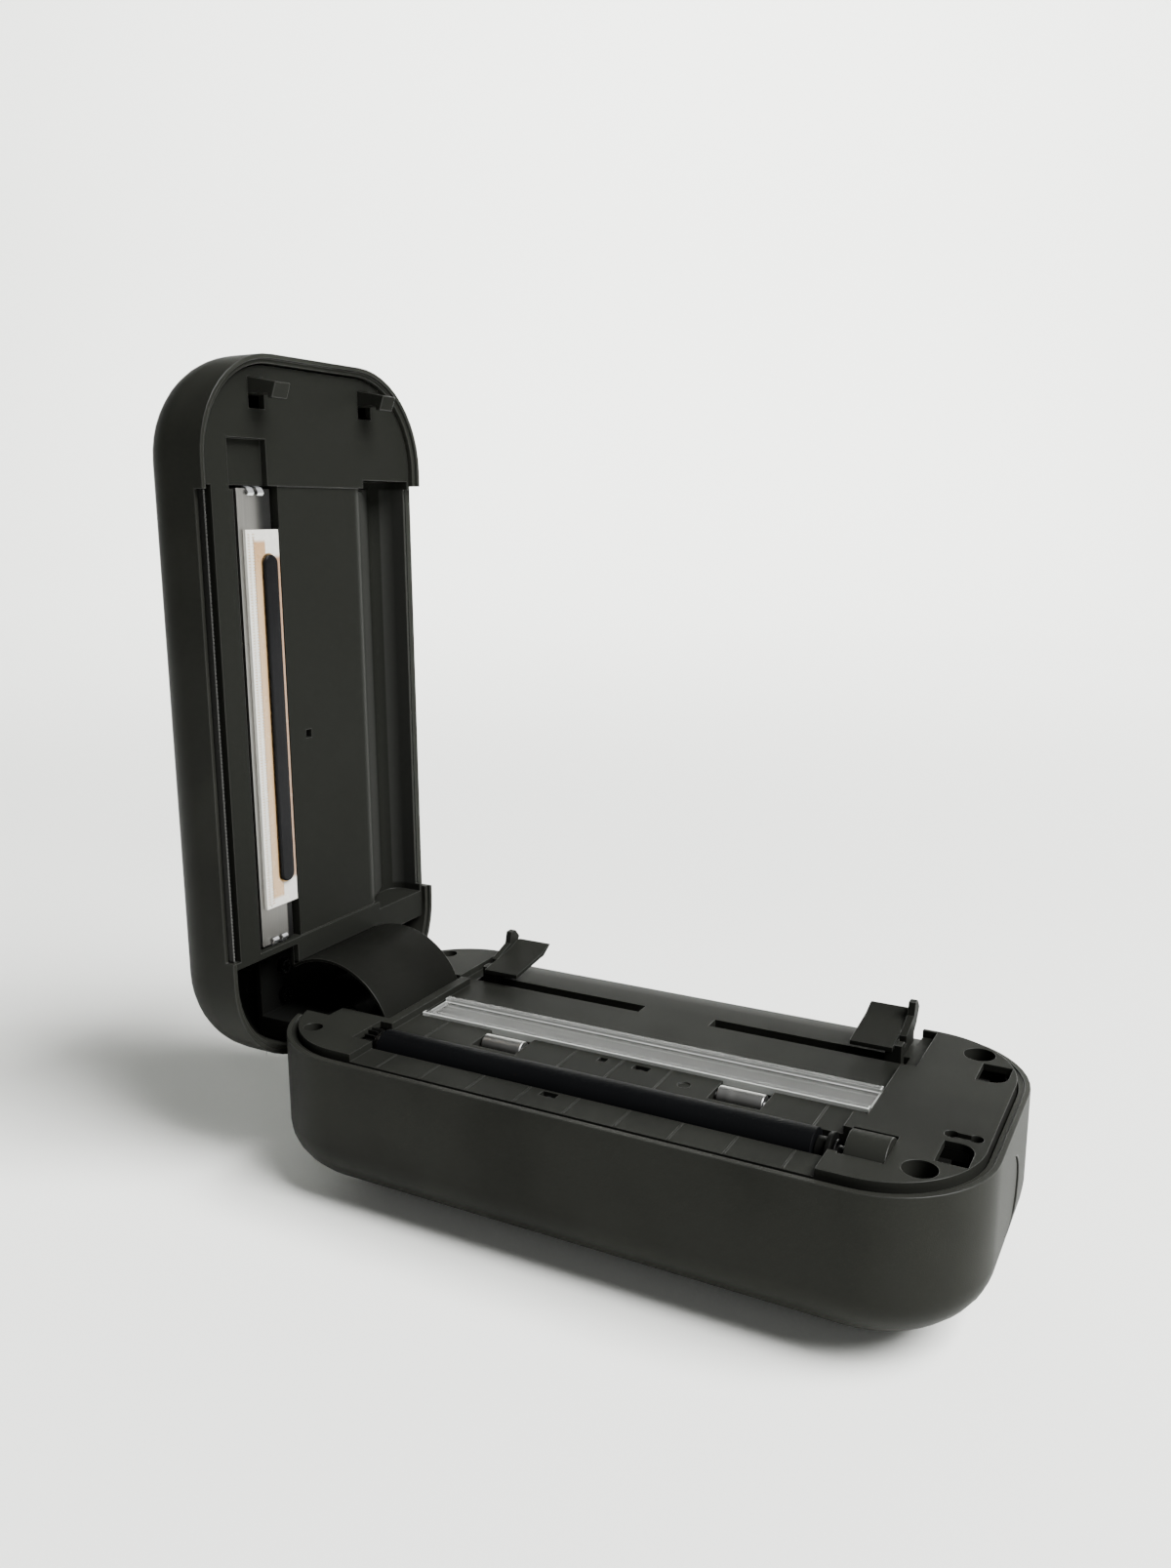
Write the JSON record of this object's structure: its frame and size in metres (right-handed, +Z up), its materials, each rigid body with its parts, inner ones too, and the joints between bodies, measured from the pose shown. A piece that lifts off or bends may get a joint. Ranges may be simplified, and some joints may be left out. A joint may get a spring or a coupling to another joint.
{
  "type": "portable thermal label printer",
  "caption": "Portable thermal label printer with a clamshell lid that stands open on an end hinge, rubber platen roller, sliding paper guides and a print head bar in the lid.",
  "frame": {"origin": "on the table, at the middle of the rubber pad under the base", "axes": "+X from the hinge end to the latch end, +Y to the side where paper goes in, +Z up"},
  "size_m": [0.2287, 0.0952, 0.2316],
  "materials": {
    "case_black": "fine matt grain",
    "frame_black": "satin",
    "rubber_black": "matt",
    "steel": "satin",
    "chrome": "polished",
    "brass": "satin",
    "aluminium": "brushed",
    "ceramic": "glazed",
    "clear": "clear and smooth",
    "gear_white": "satin",
    "board": "lacquered",
    "chip": "satin",
    "cell": "shrink film",
    "light": "clear"
  },
  "bodies": {
    "base": {"base_shell": "case_black", "rubber_pad": "rubber_black", "deck_frame": "frame_black", "deck_screws": "steel", "hinge_bracket": "frame_black", "hinge_pin": "steel", "gear_plate": "steel", "drive_motor": "steel", "idler_stud": "steel", "platen_bushes": "brass", "bearing_cap": "frame_black", "clear_bar": "clear", "roller_axles": "steel", "paper_sensors": "chip", "guide_track": "frame_black", "main_board": "board", "board_parts": "chip", "charge_port": "steel", "battery_cells": "cell", "battery_cradle": "frame_black", "latch_retainer": "frame_black", "latch_springs": "steel"},
    "lid": {"lid_shell": "case_black", "lid_frame": "frame_black", "hinge_cover": "case_black", "lid_hinge_leaf": "frame_black", "latch_hooks": "frame_black", "tear_bar": "steel", "lid_screws": "steel", "head_clips": "steel", "lid_sensor": "chip", "button_board": "board", "status_light": "light", "head_springs": "steel"},
    "print_head": {"head_body": "aluminium", "head_ceramic": "ceramic", "head_chip_cover": "chip", "head_connector": "gear_white"},
    "platen": {"platen_shaft": "steel", "platen_rubber": "rubber_black", "platen_gear": "gear_white", "platen_collar": "frame_black", "shaft_clip": "chrome"},
    "idler": {"idler_gear": "gear_white"},
    "motor_rotor": {"motor_pinion": "brass"},
    "guide_left": {"paper_guide_left": "frame_black", "guide_rack_left": "frame_black"},
    "guide_right": {"paper_guide_right": "frame_black", "guide_rack_right": "frame_black"},
    "guide_gear": {"guide_pinion": "gear_white"},
    "pinch_left": {"pinch_roller_left": "chrome"},
    "pinch_right": {"pinch_roller_right": "chrome"},
    "latch": {"release_button": "case_black", "latch_slider": "gear_white"},
    "power": {"power_button": "frame_black"}
  },
  "joints": [
    {"name": "lid_hinge", "type": "hinge", "parent": "base", "child": "lid", "pos_m": [-0.0937, 0, 0.0379], "axis": [0, 1, 0], "range_deg": [0, 90]},
    {"name": "head_press", "type": "slide", "parent": "lid", "child": "print_head", "axis": [-1, 0, 0], "range_m": [0, 0.0008], "stiffness_N_per_m": 3000, "springref_m": -0.002, "deforming": ["head_springs"]},
    {"name": "platen_turn", "type": "hinge", "parent": "base", "child": "platen", "pos_m": [0, -0.0282, 0.0427], "axis": [1, 0, 0], "continuous": true},
    {"name": "idler_turn", "type": "hinge", "parent": "base", "child": "idler", "pos_m": [-0.07, -0.03016, 0.03035], "axis": [1, 0, 0], "continuous": true},
    {"name": "motor_turn", "type": "hinge", "parent": "base", "child": "motor_rotor", "pos_m": [-0.07, -0.02966, 0.01937], "axis": [1, 0, 0], "continuous": true},
    {"name": "guide_left_slide", "type": "slide", "parent": "base", "child": "guide_left", "axis": [1, 0, 0], "range_m": [-0.001, 0.05]},
    {"name": "guide_right_slide", "type": "slide", "parent": "base", "child": "guide_right", "axis": [-1, 0, 0], "range_m": [-0.001, 0.05]},
    {"name": "guide_gear_turn", "type": "hinge", "parent": "base", "child": "guide_gear", "pos_m": [0, 0.0254, 0.041], "axis": [0, 0, 1], "range_deg": [-640, 14]},
    {"name": "pinch_left_turn", "type": "hinge", "parent": "base", "child": "pinch_left", "pos_m": [-0.0353, -0.0133, 0.0432], "axis": [1, 0, 0], "continuous": true},
    {"name": "pinch_right_turn", "type": "hinge", "parent": "base", "child": "pinch_right", "pos_m": [0.0353, -0.0133, 0.0432], "axis": [1, 0, 0], "continuous": true},
    {"name": "latch_release", "type": "slide", "parent": "base", "child": "latch", "axis": [-1, 0, 0], "range_m": [0, 0.0028], "stiffness_N_per_m": 800, "springref_m": -0.003, "deforming": ["latch_springs"]},
    {"name": "power_press", "type": "slide", "parent": "lid", "child": "power", "axis": [1, 0, 0], "range_m": [0, 0.0008], "stiffness_N_per_m": 800, "springref_m": -0.001}
  ],
  "couplings": [
    {"joint": "idler_turn", "follows": "platen_turn", "ratio": -0.5625},
    {"joint": "motor_turn", "follows": "platen_turn", "ratio": 1.5},
    {"joint": "guide_right_slide", "follows": "guide_left_slide", "ratio": 1},
    {"joint": "guide_gear_turn", "follows": "guide_left_slide", "rad_per_m": -222.22}
  ]
}
